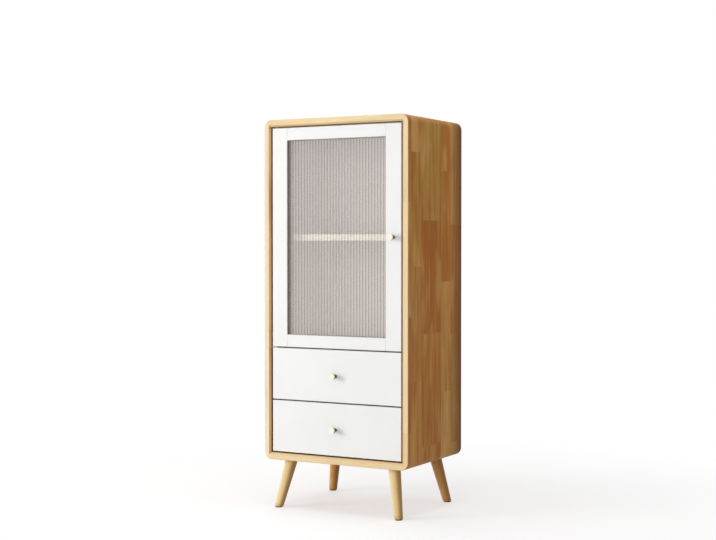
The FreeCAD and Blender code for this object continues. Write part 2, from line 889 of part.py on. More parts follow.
def hat_section():
    """The drawer's rail: a hat whose brim is held in the middle rail."""
    tall = "inner_height / 2"
    web = "inner_web_height / 2"
    brim = "inner_start + rail_sheet"
    return [
        ("inner_start", f"-{tall}"),
        (brim, f"-{tall}"),
        (brim, f"-{web}"),
        ("runner_thickness", f"-{web}"),
        ("runner_thickness", web),
        (brim, web),
        (brim, tall),
        ("inner_start", tall),
        ("inner_start", f"{web} - rail_sheet"),
        ("runner_thickness - rail_sheet", f"{web} - rail_sheet"),
        ("runner_thickness - rail_sheet", f"rail_sheet - {web}"),
        ("inner_start", f"rail_sheet - {web}"),
    ]


RAIL_SECTIONS = {
    "outer": lipped_channel("0", "outer_rail_depth", "runner_height", "outer_lip"),
    "middle": lipped_channel("middle_start", "middle_depth", "middle_height", "middle_lip"),
    "inner": hat_section(),
}

# Two drawers alike


def drawer(name, front_bottom):
    box_bottom = f"({front_bottom} + box_rise)"
    box_top = f"({box_bottom} + box_height)"
    sheet_bottom = f"({box_bottom} + box_bottom_rise)"
    sheet_top = f"({sheet_bottom} + box_bottom_thickness)"
    groove_low = ("-box_inner_half - box_groove", "drawer_front_back - box_groove", sheet_bottom)
    groove_high = ("box_inner_half + box_groove", "box_end - box_thickness + box_groove", sheet_top)

    front = piece(f"{name}_drawer_front")
    block(
        front,
        "board",
        ("-front_half", "face_plane", front_bottom),
        ("front_half", "drawer_front_back", f"{front_bottom} + drawer_front_height"),
    )
    bevel_edges(front, "face_arris", "front_arris", on_face)
    block(front, "bottom_groove", groove_low, groove_high, cut=True)

    wall_spans = {"left": ("-box_half", "-box_inner_half"), "right": ("box_inner_half", "box_half")}
    for side, (near_x, far_x) in wall_spans.items():
        wall = piece(f"{name}_drawer_{side}_side")
        block(
            wall,
            "board",
            (near_x, "drawer_front_back", box_bottom),
            (far_x, "box_end", box_top),
        )
        block(wall, "bottom_groove", groove_low, groove_high, cut=True)

    back = piece(f"{name}_drawer_back")
    block(
        back,
        "board",
        ("-box_inner_half", "box_end - box_thickness", box_bottom),
        ("box_inner_half", "box_end", box_top),
    )
    block(back, "bottom_groove", groove_low, groove_high, cut=True)

    bottom = piece(f"{name}_drawer_bottom")
    block(
        bottom,
        "sheet",
        (f"panel_play + {groove_low[0]}", f"panel_play + {groove_low[1]}", sheet_bottom),
        (f"{groove_high[0]} - panel_play", f"{groove_high[1]} - panel_play", sheet_top),
    )

    knob(f"{name}_drawer_knob", "0", f"{front_bottom} + drawer_front_height / 2")

    for side, along_x in SIDES.items():
        for part_name, section in RAIL_SECTIONS.items():
            rail = piece(f"{name}_{side}_{part_name}_rail")
            folded_rail(rail, along_x, f"{box_bottom} + box_height / 2", section)


drawer("upper", "upper_front_bottom")
drawer("lower", "lower_front_bottom")

# Every feature has to have come out, and every piece has to be sound, before anything is written

doc.recompute()
for item in doc.Objects:
    if {"Invalid", "Error"} & set(item.State):
        raise RuntimeError(f"{item.Name} failed: {item.State}")
for item in pieces:
    if item.Shape.isNull() or not item.Shape.isValid() or not item.Shape.Solids:
        raise RuntimeError(f"{item.Label} has no sound shape")

os.makedirs("parts", exist_ok=True)
for item in pieces:
    item.Shape.exportStep(f"parts/{item.Label}.step")
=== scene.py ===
import math

import bmesh
import bpy
from mathutils import Matrix, Vector


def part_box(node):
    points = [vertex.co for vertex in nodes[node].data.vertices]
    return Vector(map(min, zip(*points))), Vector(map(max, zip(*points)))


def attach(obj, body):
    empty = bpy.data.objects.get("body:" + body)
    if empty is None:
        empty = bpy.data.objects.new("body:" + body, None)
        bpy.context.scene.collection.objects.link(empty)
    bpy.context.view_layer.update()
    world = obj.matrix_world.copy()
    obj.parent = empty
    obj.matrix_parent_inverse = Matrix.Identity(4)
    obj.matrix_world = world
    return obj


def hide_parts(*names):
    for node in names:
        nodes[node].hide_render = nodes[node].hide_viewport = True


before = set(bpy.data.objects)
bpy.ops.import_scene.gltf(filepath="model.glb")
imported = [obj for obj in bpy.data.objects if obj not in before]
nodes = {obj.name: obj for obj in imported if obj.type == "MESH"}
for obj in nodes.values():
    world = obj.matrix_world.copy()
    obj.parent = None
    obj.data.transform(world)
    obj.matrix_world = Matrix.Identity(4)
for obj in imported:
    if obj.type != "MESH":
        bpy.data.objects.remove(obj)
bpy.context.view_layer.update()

# A tall cabinet on splayed legs: honey timber case, white door with reeded glass, two white drawers.
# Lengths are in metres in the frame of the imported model: +X right, +Y back, +Z up.

scene = bpy.context.scene


# Finishes


class Signal:
    """A shader value that can stand in a Python sum."""

    def __init__(self, finish, socket):
        self.finish = finish
        self.socket = socket

    def __add__(self, other):
        return self.finish.sum("ADD", self, other)

    def __sub__(self, other):
        return self.finish.sum("SUBTRACT", self, other)

    def __rsub__(self, other):
        return self.finish.sum("SUBTRACT", other, self)

    def __mul__(self, other):
        return self.finish.sum("MULTIPLY", self, other)

    def __truediv__(self, other):
        return self.finish.sum("DIVIDE", self, other)

    def __rtruediv__(self, other):
        return self.finish.sum("DIVIDE", other, self)

    def __pow__(self, other):
        return self.finish.sum("POWER", self, other)

    def __mod__(self, other):
        return self.finish.sum("FLOORED_MODULO", self, other)

    def __abs__(self):
        return self.finish.sum("ABSOLUTE", self)

    def __floor__(self):
        return self.finish.sum("FLOOR", self)

    __radd__ = __add__
    __rmul__ = __mul__


class Finish:
    """The nodes of one material, or of the world."""

    MIXED_COLOUR = 2  # place of the colour among the outputs of a Mix node

    def __init__(self, tree):
        self.tree = tree
        tree.nodes.clear()

    def node(self, kind, settings, inputs, output=0):
        made = self.tree.nodes.new("ShaderNode" + kind)
        for name, value in settings.items():
            setattr(made, name, value)
        for name, value in inputs.items():
            socket = made.inputs[name] if isinstance(name, int) else self.socket(made, name)
            if isinstance(value, Signal):
                self.tree.links.new(value.socket, socket)
            else:
                socket.default_value = value
        return Signal(self, made.outputs[output]) if made.outputs else None

    def socket(self, made, name):
        return next(s for s in made.inputs if name in (s.identifier, s.name))

    def sum(self, operation, *terms):
        return self.node("Math", {"operation": operation}, dict(enumerate(terms)))

    def least(self, first, *others):
        for other in others:
            first = self.sum("MINIMUM", first, other)
        return first

    def vector(self, operation, first, second, output="Vector"):
        return self.node("VectorMath", {"operation": operation}, {0: first, 1: second}, output)

    def blend(self, share, first, second):
        inputs = {"Factor_Float": share, "A_Color": first, "B_Color": second}
        return self.node("Mix", {"data_type": "RGBA"}, inputs, self.MIXED_COLOUR)

    def ease(self, value, low, high):
        settings = {"interpolation_type": "SMOOTHSTEP"}
        return self.node("MapRange", settings, {"Value": value, "From Min": low, "From Max": high})

    def noise(self, place, scale, detail, roughness=0.5):
        inputs = {"Vector": place, "Scale": scale, "Detail": detail, "Roughness": roughness}
        return self.node("TexNoise", {}, inputs)

    def grain(self, place, along, long_scale, cross_scale, detail, roughness=0.5):
        """Noise drawn out along one axis."""
        scales = [long_scale if axis == along else cross_scale for axis in "xyz"]
        return self.noise(self.vector("MULTIPLY", place, scales), 1.0, detail, roughness)

    def chance(self, place, output="Value"):
        return self.node("TexWhiteNoise", {"noise_dimensions": "3D"}, {"Vector": place}, output)

    def place(self):
        return self.node("TexCoord", {}, {}, "Object")

    def facing(self):
        return self.split(self.node("TexCoord", {}, {}, "Normal"))

    def split(self, vector):
        made = self.node("SeparateXYZ", {}, {"Vector": vector}).socket.node
        return [Signal(self, socket) for socket in made.outputs]

    def join(self, x, y, z):
        return self.node("CombineXYZ", {}, {"X": x, "Y": y, "Z": z})

    def bump(self, height, strength, depth):
        return self.node("Bump", {}, {"Height": height, "Strength": strength, "Distance": depth})

    def surface(self, inputs):
        return self.node("BsdfPrincipled", {}, inputs)

    def close(self, shader, kind="OutputMaterial"):
        self.node(kind, {}, {"Surface": shader})


def tone(red, green, blue):
    """A colour from 0 to 255, as a screen shows it, as the linear colour that a shader takes."""
    parts = [part / 255 for part in (red, green, blue)]
    parts = [p / 12.92 if p <= 0.04045 else ((p + 0.055) / 1.055) ** 2.4 for p in parts]
    return (*parts, 1.0)


def new_finish(name):
    material = bpy.data.materials.new(name)
    material.use_nodes = True
    return material, Finish(material.node_tree)


# In each set of tones, edge and edge_deep are painted light: the paler tones of faces that look to the
# front
HONEY = {
    "light": tone(231, 176, 98),
    "main": tone(214, 142, 58),
    "deep": tone(206, 120, 32),
    "olive": tone(213, 154, 68),
    "shade": tone(160, 98, 32),
    "joint": tone(118, 74, 34),
    "edge": tone(246, 233, 204),
    "edge_deep": tone(243, 222, 184),
}
CREAM = {
    "light": tone(250, 244, 232),
    "main": tone(246, 238, 223),
    "deep": tone(241, 228, 206),
    "olive": tone(241, 233, 218),
    "shade": tone(224, 205, 175),
    "joint": tone(204, 182, 148),
    "edge": tone(254, 248, 238),
    "edge_deep": tone(252, 245, 233),
}
# The compartment floor has a wood lip on its front, toned dark as painted shade for the gap under the
# door
LIPPED = CREAM | {"edge": tone(150, 104, 60), "edge_deep": tone(138, 92, 50)}
BIRCH = {
    "light": tone(236, 212, 172),
    "main": tone(226, 198, 154),
    "deep": tone(214, 182, 136),
    "olive": tone(222, 200, 160),
    "shade": tone(196, 160, 112),
    "joint": tone(180, 146, 100),
    "edge": tone(230, 204, 162),
    "edge_deep": tone(222, 190, 144),
}
LEFT_HONEY = HONEY | {
    "light": tone(234, 190, 126),
    "main": tone(219, 156, 80),
    "deep": tone(211, 136, 56),
    "olive": tone(216, 166, 96),
}
LEVEL_HONEY = HONEY | {"edge": tone(244, 225, 184), "edge_deep": tone(240, 210, 160)}
# The right side takes a deeper, more saturated copy of the honey tones: painted warm shade
SHADED_RIGHT_HONEY = HONEY | {
    "light": tone(255, 200, 117),
    "main": tone(227, 146, 50),
    "deep": tone(206, 115, 18),
    "olive": tone(217, 158, 69),
    "edge": tone(243, 222, 181),
    "edge_deep": tone(240, 210, 162),
}
# Stick tones: left is a painted highlight and right is painted shade
FRONT_STICK = {
    "main": tone(249, 222, 165),
    "second": tone(240, 203, 140),
    "grain": tone(200, 148, 84),
    "left": tone(255, 246, 214),
    "right": tone(136, 80, 20),
}
# The back legs take a darker copy of the stick tones: painted shade from the case above them
SHADED_BACK_STICK = {
    "main": tone(222, 168, 104),
    "second": tone(208, 148, 84),
    "grain": tone(176, 116, 58),
    "left": tone(254, 217, 166),
    "right": tone(153, 108, 50),
}
PALE_FACING = (tone(249, 246, 244), tone(244, 240, 238))
BACK_SHADE_TONE = tone(128, 76, 14)
BACK_CORNER_SHADE_TONE = tone(78, 62, 36)

# Where the tone of a case board changes, from none of it to all of it. Each range marks where painted
# shade starts or ends.
PAINTED_SHADE_HEIGHTS = (1.15, 0.2)
PAINTED_SHADE_DEPTHS = (0.105, 0.196)
BACK_CORNER = (0.184, 0.192)
GAP_RIM = (-0.1722, -0.1696)
BEHIND_DOOR = (-0.1495, -0.1485)
BEFORE_BACK = (0.1802, 0.1796)

GLUE_LINE = 0.0006
PLY = 0.0013
RING = 0.0052


def timber(name, tones, along, across, stave, seed, inner=None, plies=None, lit_facing=0.5, painted_shade=0.3):
    """Glued staves of a width and a length, with the grain along one axis.

    Faces that look to the front by more than lit_facing take the pale edge tones, painted light.
    Painted shade is how much darker the board is painted towards the back and towards the floor.
    The face that looks along the inner axis, given as its letter and sign, takes painted shade in the
    gap round the fronts, as does the rim of the bevel there, and has a pale facing behind the door.
    Plies, given as the axis of the thickness and where it starts, show as layers on the cut edges.
    """
    material, f = new_finish(name)
    place = f.place()
    axes = dict(zip("xyz", f.split(place)))
    faces = dict(zip("xyz", f.facing()))
    width, length = stave
    steps_across = axes[across] / width + seed * 0.37
    steps_across = steps_across + f.sum("SINE", steps_across * 2.3 + seed) * 0.24
    column = math.floor(steps_across)
    start = f.chance(f.join(column, seed, 3.1))
    steps_along = axes[along] / length + start * 7.0
    row = math.floor(steps_along)
    draw = f.chance(f.join(column, row, seed), "Color")
    warm, red, light = f.split(draw)
    moved = f.vector("ADD", place, f.vector("MULTIPLY", draw, (4, 4, 4)))
    drift = f.grain(moved, along, 4.5, 15.0, 2.0)
    figure = f.grain(moved, along, 4.0, 70.0, 5.0, 0.6)
    fibre = f.grain(moved, along, 20.0, 520.0, 3.0, 0.6)
    pores = f.ease(f.grain(moved, along, 90.0, 2100.0, 1.0), 0.66, 0.76)
    # Each stave has its own tone, which drifts along it
    colour = f.blend(f.ease(warm, 0.3, 0.75) * 0.9, tones["main"], tones["olive"])
    colour = f.blend(f.ease(red, 0.42, 0.86) * 0.8, colour, tones["deep"])
    colour = f.blend(f.ease(light, 0.52, 0.9) * 0.7, colour, tones["light"])
    colour = f.blend(f.ease(drift, 0.5, 0.68) * 0.62, colour, tones["deep"])
    colour = f.blend(f.ease(drift, 0.48, 0.31) * 0.58, colour, tones["light"])
    # Painted shade: darker towards the floor
    colour = f.blend(f.ease(axes["z"], *PAINTED_SHADE_HEIGHTS) * painted_shade * 0.34, colour, tones["shade"])
    # Front edges are paler, with a fainter grain: painted light on the faces that the lamps light from
    # the front
    front = f.ease(0 - faces["y"], lit_facing, 0.95)
    edge = f.blend(f.ease(red, 0.3, 0.9), tones["edge"], tones["edge_deep"])
    colour = f.blend(front, colour, edge)
    colour = f.blend(f.ease(figure, 0.46, 0.74) * (0.58 - 0.4 * front), colour, tones["shade"])
    colour = f.blend(f.ease(figure, 0.48, 0.26) * (0.5 - 0.3 * front), colour, tones["light"])
    colour = f.blend(f.ease(fibre, 0.5, 0.78) * (0.34 - 0.22 * front), colour, tones["shade"])
    # Painted shade: the sides darken towards the back, most in a band at the back corner
    painted_shade_mask = (1 - f.ease(faces["y"], 0.3, 0.8)) * painted_shade
    colour = f.blend(f.ease(axes["y"], *PAINTED_SHADE_DEPTHS) * painted_shade_mask, colour, BACK_SHADE_TONE)
    colour = f.blend(f.ease(axes["y"], *BACK_CORNER) * painted_shade_mask * 0.6, colour, BACK_CORNER_SHADE_TONE)
    colour = f.blend(pores * 0.22, colour, tones["joint"])
    beside = f.ease(0.5 - abs(steps_across % 1.0 - 0.5), 0.0, GLUE_LINE / width)
    beyond = f.ease(0.5 - abs(steps_along % 1.0 - 0.5), 0.0, GLUE_LINE / length)
    line = 1 - f.least(beside, beyond)
    colour = f.blend(line * 0.2, colour, tones["joint"])
    if inner:
        axis, sign = inner
        # Painted shade: the rim of the bevel beside the gap and the inner face in the gap take the
        # dark joint tone
        rim = f.ease(axes["y"], *GAP_RIM) * f.ease(faces[axis] * sign, 0.4, 0.6)
        colour = f.blend(rim * 0.6, colour, tones["joint"])
        within = f.ease(faces[axis] * sign, 0.8, 0.95)
        behind = f.ease(axes["y"], *BEHIND_DOOR) * f.ease(axes["y"], *BEFORE_BACK)
        fleck = f.noise(place, 240.0, 3.0)
        lining = f.blend(f.ease(fleck, 0.4, 0.7), *PALE_FACING)
        colour = f.blend(within, colour, f.blend(behind, tones["joint"], lining))
    if plies:
        axis, low = plies
        band = math.floor((axes[axis] - low) / PLY) % 2.0
        cut = 1 - f.ease(abs(faces[axis]), 0.3, 0.7)
        layer = f.blend(band * (0.55 + fibre * 0.6), tones["light"], tones["joint"])
        colour = f.blend(cut * 0.85, colour, layer)
    shader = f.surface({
        "Base Color": colour,
        "Roughness": 0.48 + (figure - 0.5) * 0.14 + (fibre - 0.5) * 0.12,
        "Specular IOR Level": 0.1,
        "Normal": f.bump(fibre * 0.5 - pores * 0.5 - line * 0.6, 0.12, 0.0004),
    })
    f.close(shader)
    return material


def turned_timber(name, seat, tones):
    """One stick of timber turned along the Z axis of its seat, with painted light on its left and
    painted shade on its right.
    """
    material, f = new_finish(name)
    place = f.place()
    rows = seat.inverted()[:3]
    x, y, z = (f.vector("DOT_PRODUCT", place, row.xyz, "Value") + row.w for row in rows)
    stick = f.join(x, y, z)
    bend = f.grain(stick, "z", 6.0, 24.0, 2.0)
    growth = x + 0.35 * y + (bend - 0.5) * 0.022 + z * 0.05
    rings = f.sum("SINE", growth * (2 * math.pi / RING)) * 0.5 + 0.5
    fibre = f.grain(stick, "z", 30.0, 700.0, 3.0, 0.6)
    pores = f.ease(f.grain(stick, "z", 90.0, 2200.0, 1.0), 0.66, 0.76)
    side = f.facing()[0]
    colour = f.blend(f.ease(bend, 0.3, 0.7), tones["main"], tones["second"])
    # Painted highlight on the left side and painted shade on the right side
    colour = f.blend(f.ease(0 - side, -0.15, 0.65) * 0.62, colour, tones["left"])
    colour = f.blend(f.ease(side, 0.35, 0.95) * 0.6, colour, tones["right"])
    colour = f.blend(rings * 0.26 + f.ease(fibre, 0.5, 0.8) * 0.22, colour, tones["grain"])
    colour = f.blend(pores * 0.22, colour, tone(146, 98, 52))
    foot = 1 - f.ease(z + (fibre - 0.5) * 0.01, 0.004, 0.016)
    colour = f.blend(foot * 0.3, colour, tone(156, 112, 66))
    shader = f.surface({
        "Base Color": colour,
        "Roughness": 0.44 + (fibre - 0.5) * 0.14,
        "Specular IOR Level": 0.2,
        "Normal": f.bump(fibre * 0.5 - pores * 0.5, 0.12, 0.0003),
    })
    f.close(shader)
    return material


def lacquer(node):
    """Sprayed white lacquer, with painted shade along the arrises and on the edges of the board."""
    material, f = new_finish(f"white_lacquer_{node}")
    low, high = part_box(node)
    place = f.place()
    x, y, z = f.split(place)
    shaded_edges = 1 - f.ease(abs(f.facing()[1]), 0.3, 0.7)
    inset = f.least(x - low.x, high.x - x, z - low.z, high.z - z)
    cloud = f.noise(place, 7.0, 3.0)
    peel = f.noise(place, 520.0, 2.0)
    rub = f.noise(place, 60.0, 3.0)
    colour = f.blend(f.ease(cloud, 0.3, 0.7), tone(246, 246, 245), tone(244, 244, 242))
    # Painted shade along the arrises, broken by noise, and on the edges of the board where they stand
    # in the gaps
    painted_shade_mask = (1 - f.ease(inset, 0.0004, 0.0020)) * (f.ease(rub, 0.42, 0.7) * 0.5 + 0.5)
    colour = f.blend(painted_shade_mask * 0.7, colour, tone(196, 192, 184))
    colour = f.blend(shaded_edges, colour, tone(186, 179, 168))
    shader = f.surface({
        "Base Color": colour,
        "Roughness": 0.34 + (cloud - 0.5) * 0.1 + painted_shade_mask * 0.15,
        "Specular IOR Level": 0.4,
        "Normal": f.bump(peel, 0.05, 0.0002),
    })
    f.close(shader)
    return material


def faced_board(name):
    """Thin board with a pale face towards the room and a bare brown back."""
    material, f = new_finish(name)
    place = f.place()
    cloud = f.noise(place, 5.0, 3.0)
    fleck = f.grain(place, "z", 160.0, 900.0, 2.0)
    chips = f.noise(place, 420.0, 4.0, 0.7)
    colour = f.blend(f.ease(cloud, 0.3, 0.7), *PALE_FACING)
    colour = f.blend(f.ease(fleck, 0.6, 0.8) * 0.25, colour, tone(238, 233, 227))
    bare = f.blend(f.ease(chips, 0.35, 0.65), tone(206, 176, 136), tone(184, 150, 110))
    bare = f.blend(f.ease(cloud, 0.4, 0.7) * 0.15, bare, tone(216, 190, 152))
    colour = f.blend(f.ease(f.facing()[1], 0.3, 0.7), colour, bare)
    shader = f.surface({
        "Base Color": colour,
        "Roughness": 0.5 + (cloud - 0.5) * 0.1,
        "Specular IOR Level": 0.3,
        "Normal": f.bump(fleck + chips, 0.06, 0.0002),
    })
    f.close(shader)
    return material


def reeded_glass(name, start, pitch, rib_foot):
    """Faintly milky pressed glass, with painted shade in the valleys between its ribs. Lamps shine
    through it.
    """
    material, f = new_finish(name)
    place = f.place()
    x, y, z = f.split(place)
    film = f.noise(place, 9.0, 4.0, 0.6)
    from_valley = 0.5 - abs((x - start) / pitch % 1.0 - 0.5)
    ribbed_side = f.ease(y, rib_foot - 0.0010, rib_foot - 0.0005)
    # Painted shade in the valleys, for the dark lines that the ribs refract
    valley = (1 - f.ease(from_valley, 0.04, 0.28)) * ribbed_side
    colour = f.blend(f.ease(film, 0.45, 0.75) * 0.5, tone(253, 248, 245), tone(250, 245, 242))
    colour = f.blend(valley, colour, tone(132, 124, 121))
    glass = f.surface({
        "Base Color": colour,
        "Roughness": 0.01 + f.ease(film, 0.5, 0.8) * 0.02,
        "IOR": 1.5,
        "Transmission Weight": 0.8,
    })
    passing = f.node("BsdfTransparent", {}, {"Color": tone(251, 251, 250)})
    shadow = f.node("LightPath", {}, {}, "Is Shadow Ray")
    f.close(f.node("MixShader", {}, {0: shadow, 1: glass, 2: passing}))
    return material


def rubber(name, dark, pale):
    """Matt rubber with a dusty bloom."""
    material, f = new_finish(name)
    place = f.place()
    dust = f.noise(place, 130.0, 3.0, 0.6)
    grit = f.noise(place, 1400.0, 2.0)
    shader = f.surface({
        "Base Color": f.blend(f.ease(dust, 0.4, 0.75), dark, pale),
        "Roughness": 0.72 + (dust - 0.5) * 0.2,
        "Specular IOR Level": 0.3,
        "Normal": f.bump(grit, 0.2, 0.0002),
    })
    f.close(shader)
    return material


def turned_brass(name):
    """Satin champagne brass with lathe lines, with painted shade and a painted dark reflection round
    the neck and behind the head.
    """
    material, f = new_finish(name)
    place = f.place()
    x, y, z = f.split(place)
    radius = (x * x + y * y) ** 0.5
    lathe_lines = f.noise(f.join(radius * 5200.0, z * 5200.0, 0.0), 1.0, 2.0)
    tarnish = f.noise(place, 240.0, 3.0)
    # Painted shade and a painted dark reflection: near black from the neck over the back of the head
    back = 1 - f.ease(z, 0.0170, 0.0236)
    colour = f.blend(f.ease(tarnish, 0.4, 0.75) * 0.5, tone(255, 251, 234), tone(250, 243, 217))
    colour = f.blend(back * 0.95, colour, tone(78, 66, 38))
    shader = f.surface({
        "Base Color": colour,
        "Roughness": 0.3 + (lathe_lines - 0.5) * 0.16 + (tarnish - 0.5) * 0.1,
        "Metallic": 1.0,
        "Normal": f.bump(lathe_lines, 0.08, 0.0001),
    })
    f.close(shader)
    return material


def zinc_plate(name, along):
    """Rolled and plated steel with rolling marks along one axis."""
    material, f = new_finish(name)
    place = f.place()
    marks = f.grain(place, along, 12.0, 1500.0, 3.0)
    cloud = f.noise(place, 45.0, 3.0)
    colour = f.blend(f.ease(cloud, 0.3, 0.7), tone(206, 208, 210), tone(190, 192, 196))
    colour = f.blend(f.ease(cloud, 0.6, 0.8) * 0.4, colour, tone(200, 196, 182))
    shader = f.surface({
        "Base Color": colour,
        "Roughness": 0.32 + (marks - 0.5) * 0.2,
        "Metallic": 1.0,
        "Normal": f.bump(marks, 0.06, 0.0001),
    })
    f.close(shader)
    return material


def moulded(name, main, second, rough):
    """Moulded plastic or pressed ferrite, with a finely pitted skin."""
    material, f = new_finish(name)
    place = f.place()
    cloud = f.noise(place, 180.0, 3.0)
    skin = f.noise(place, 2600.0, 2.0)
    shader = f.surface({
        "Base Color": f.blend(f.ease(cloud, 0.3, 0.7), main, second),
        "Roughness": rough + (cloud - 0.5) * 0.15,
        "Specular IOR Level": 0.4,
        "Normal": f.bump(skin, 0.1, 0.0001),
    })
    f.close(shader)
    return material


def finish_node(name, material):
    """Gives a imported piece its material."""
    nodes[name].data.materials.clear()
    nodes[name].data.materials.append(material)


# Pieces in mesh code


def new_piece(name, body, material, mesh, matrix=None, sharp=35):
    """Links a finished bmesh as a piece that rides on a body."""
    data = bpy.data.meshes.new(name)
    bmesh.ops.recalc_face_normals(mesh, faces=mesh.faces)
    mesh.to_mesh(data)
    mesh.free()
    data.shade_smooth()
    data.set_sharp_from_angle(angle=math.radians(sharp))
    data.materials.append(material)
    piece = bpy.data.objects.new(name, data)
    scene.collection.objects.link(piece)
    if matrix is not None:
        piece.matrix_world = matrix
    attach(piece, body)
    return piece


def lathe(mesh, profile, segments):
    """Turns (radius, height) points about Z. A radius of 0 closes the form."""
    turns = [2 * math.pi * k / segments for k in range(segments)]
    rings = []
    for radius, height in profile:
        points = [(radius * math.cos(t), radius * math.sin(t), height) for t in turns]
        if radius == 0:
            points = [(0, 0, height)]
        rings.append([mesh.verts.new(point) for point in points])
    for lower, upper in zip(rings, rings[1:]):
        for k in range(segments):
            after = (k + 1) % segments
            corners = [lower[k % len(lower)], lower[after % len(lower)]]
            corners += [upper[after % len(upper)], upper[k % len(upper)]]
            mesh.faces.new(list(dict.fromkeys(corners)))
    return rings


def rounding(radius, height, size, start, end, steps):
    """Points of an arc of the given size about a centre, from one angle to another."""
    angles = [math.radians(start + (end - start) * k / steps) for k in range(steps + 1)]
    return [(radius + size * math.cos(a), height + size * math.sin(a)) for a in angles]


def screw_head(mesh, radius, rise):
    """A head with a cross recess on the XY plane, its underside sunk below it."""
    sunk = rise - radius * 0.7
    profile = [(0, sunk), (radius, sunk), (radius, rise * 0.3)]
    profile += [(radius - rise * 0.25, rise * 0.8), (radius * 0.74, rise)]
    rim = lathe(mesh, profile, 32)[-1]
    arm, half = radius * 0.52, radius * 0.13
    outline = [(arm, -half), (arm, half), (half, half)]
    for _ in range(3):
        outline += [(-y, x) for x, y in outline[-3:]]
    mouth = [mesh.verts.new((x, y, rise)) for x, y in outline]
    bed = [mesh.verts.new((x * 0.7, y * 0.7, rise - radius * 0.5)) for x, y in outline]
    for k in range(len(mouth)):
        mesh.faces.new((mouth[k - 1], mouth[k], bed[k], bed[k - 1]))
    mesh.faces.new(bed)
    loops = [mesh.edges.get((ring[k - 1], ring[k])) for ring in (rim, mouth) for k in range(len(ring))]
    bmesh.ops.triangle_fill(mesh, edges=loops, use_beauty=True)


FIRST_TURN, NEXT_TURN = 0.4, 1.3


def screws(name, body, radius, rise, facing, points):
    """Screws of one kind that look the same way, each turned further than the last."""
    mesh = bmesh.new()
    upright = Vector(facing).to_track_quat("Z", "Y").to_matrix().to_4x4()
    for count, point in enumerate(points):
        before = len(mesh.verts)
        screw_head(mesh, radius, rise)
        turn = Matrix.Rotation(FIRST_TURN + count * NEXT_TURN, 4, "Z")
        seat = Matrix.Translation(point) @ upright @ turn
        bmesh.ops.transform(mesh, matrix=seat, verts=mesh.verts[:][before:])
    new_piece(name, body, bright_zinc, mesh, sharp=30)


def soften(name, width):
    """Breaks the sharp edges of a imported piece."""
    weld = nodes[name].modifiers.new("weld", "WELD")
    weld.merge_threshold = 0.000001
    bevel = nodes[name].modifiers.new("broken_edges", "BEVEL")
    bevel.width = width
    bevel.segments = 3
    bevel.limit_method = "ANGLE"
    bevel.angle_limit = math.radians(40)
    nodes[name].modifiers.new("even_shading", "WEIGHTED_NORMAL")


# Reeded pane: flat in front, round ribs on the back

RIBS = 35
RIB_STEPS = 10
RIB_HEIGHT = 0.0008
pane_low, pane_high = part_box("door_glass")
pitch = (pane_high.x - pane_low.x) / RIBS
rib_foot = pane_high.y - RIB_HEIGHT
rib_radius = (pitch ** 2 / 4 + RIB_HEIGHT ** 2) / (2 * RIB_HEIGHT)
section = [(pane_high.x, pane_low.y), (pane_low.x, pane_low.y), (pane_low.x, rib_foot)]
for rib in range(RIBS):
    for step in range(1, RIB_STEPS + 1):
        offset = (step / RIB_STEPS - 0.5) * pitch
        rise = math.sqrt(rib_radius ** 2 - offset ** 2) - rib_radius + RIB_HEIGHT
        section.append((pane_low.x + (rib + 0.5) * pitch + offset, rib_foot + rise))
mesh = bmesh.new()
ends = [[mesh.verts.new((x, y, z)) for x, y in section] for z in (pane_low.z, pane_high.z)]
for k in range(len(section)):
    after = (k + 1) % len(section)
    mesh.faces.new((ends[0][k], ends[0][after], ends[1][after], ends[1][k]))
for end in ends:
    mesh.faces.new(end)
pressed_glass = reeded_glass("pressed_glass", pane_low.x, pitch, rib_foot)
pane = new_piece("reeded_pane", "door", pressed_glass, mesh)
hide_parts("door_glass")

# Turned knobs, from the foot on the front to the flat of the head

KNOBS = {
    "door_knob": "door",
    "upper_drawer_knob": "upper_drawer",
    "lower_drawer_knob": "lower_drawer",
}
NECK_RADIUS = 0.0045
NECK_TURN = 0.0012
FOOT_LIP = 0.0006
HEAD_LENGTH = 0.011
BACK_TURN = 0.0008
FACE_TURN = 0.0015
brass = turned_brass("champagne_brass")
for node, body in KNOBS.items():
    low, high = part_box(node)
    head = (high.x - low.x) / 2
    reach = high.y - low.y
    head_back = reach - HEAD_LENGTH
    profile = [(0, 0), (NECK_RADIUS + FOOT_LIP, 0), (NECK_RADIUS + FOOT_LIP, 0.0008)]
    profile += [(NECK_RADIUS, 0.0018), (NECK_RADIUS - 0.0004, 0.006)]
    profile += rounding(NECK_RADIUS + NECK_TURN, head_back - NECK_TURN, NECK_TURN, 180, 90, 4)
    profile += rounding(head - BACK_TURN, head_back + BACK_TURN, BACK_TURN, -90, 0, 4)
    profile += rounding(head - FACE_TURN, reach - 0.0017, FACE_TURN, 0, 78, 6)
    profile += [(head - 0.0024, reach - 0.00018), (head * 0.5, reach - 0.00004), (0, reach)]
    mesh = bmesh.new()
    lathe(mesh, profile, 64)
    centre = (low + high) / 2
    forward = Matrix.Rotation(math.radians(90), 4, "X")
    seat = Matrix.Translation((centre.x, high.y, centre.z)) @ forward
    knob = new_piece(f"turned_{node}", body, brass, mesh, seat, 30)
    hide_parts(node)

# Turned legs, cut level at the case and at the pads

